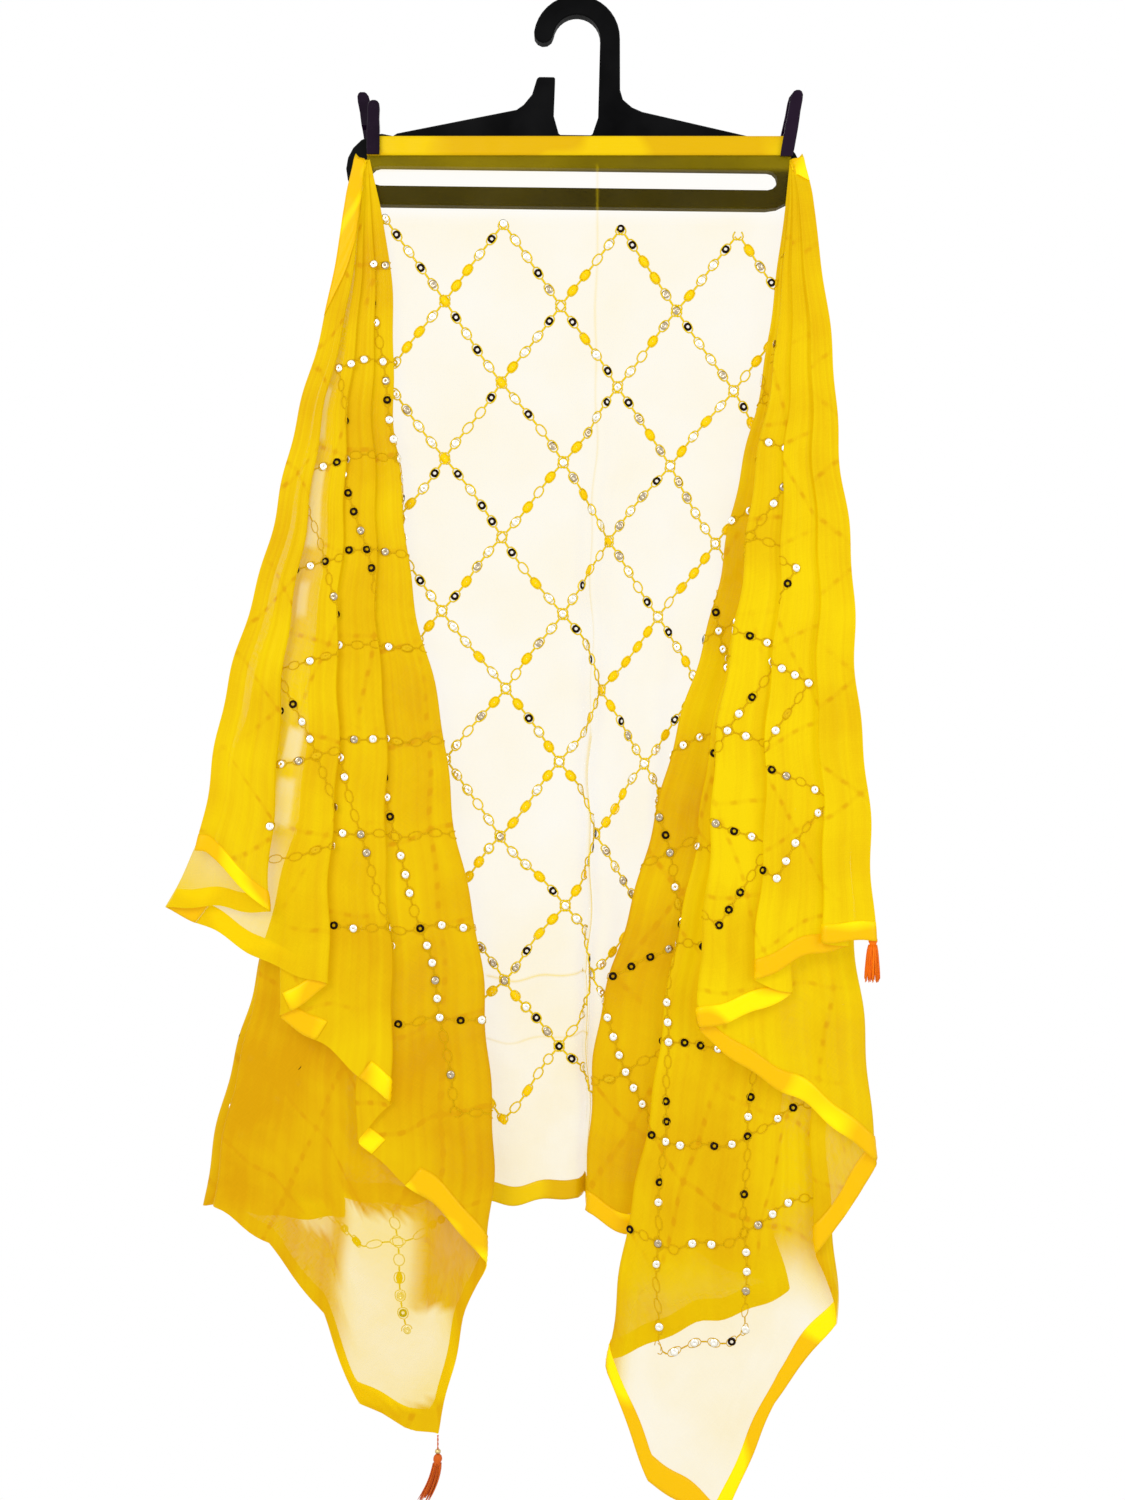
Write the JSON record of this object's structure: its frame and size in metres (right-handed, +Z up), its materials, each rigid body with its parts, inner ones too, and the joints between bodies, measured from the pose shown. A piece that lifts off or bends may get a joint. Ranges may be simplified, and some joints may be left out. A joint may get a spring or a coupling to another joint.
{
  "type": "dupatta stole on a clothes hanger",
  "caption": "Sheer dupatta stole with satin borders, trellis embroidery and corner tassels, pegged by its long edge across a slotted clothes hanger and falling in folds at each side.",
  "frame": {"origin": "inside top of the hanger's hook, where a rail carries it", "axes": "+X along the hanger to the viewer's right, +Y away from the cloth's viewed side, +Z up"},
  "size_m": [0.6474, 0.097, 1.4819],
  "materials": {
    "organza": "sheer woven organza, soft sheen; its mesh lets light through, so one layer looks cream and many look golden",
    "satin_ribbon": "smooth satin ribbon with a silky sheen and stitched edges",
    "tassel_floss": "silky floss strands",
    "bead_brass": "polished",
    "hanger_plastic": "moulded, fine satin",
    "peg_plastic": "glossy moulded",
    "spring_steel": "drawn wire",
    "embroidery_thread": "twisted silky thread",
    "sequin_foil": "polished foil disc with a stitched centre hole"
  },
  "bodies": {
    "root": {"hanger": "hanger_plastic", "middle_panel": "organza", "middle_top_ribbon": "satin_ribbon", "middle_lower_ribbon": "satin_ribbon", "left_gather": "organza", "left_grip_ribbon": "satin_ribbon", "left_back": "organza", "left_tuck": "organza", "left_corner": "organza", "left_inner": "organza", "left_side": "organza", "left_fall": "organza", "left_top_ribbon": "satin_ribbon", "left_lower_ribbon": "satin_ribbon", "left_end_ribbon": "satin_ribbon", "right_gather": "organza", "right_grip_ribbon": "satin_ribbon", "right_back": "organza", "right_tuck": "organza", "right_corner": "organza", "right_middle": "organza", "right_front": "organza", "right_fall": "organza", "right_top_ribbon": "satin_ribbon", "right_lower_ribbon": "satin_ribbon", "right_end_ribbon": "satin_ribbon", "left_peg_front_arm": "peg_plastic", "left_peg_rear_arm": "peg_plastic", "left_peg_spring": "spring_steel", "right_peg_front_arm": "peg_plastic", "right_peg_rear_arm": "peg_plastic", "right_peg_spring": "spring_steel", "left_lower_tassel": "tassel_floss", "left_lower_bead": "bead_brass", "left_top_tassel": "tassel_floss", "right_lower_tassel": "tassel_floss", "right_lower_bead": "bead_brass", "right_top_tassel": "tassel_floss"}
  },
  "joints": []
}
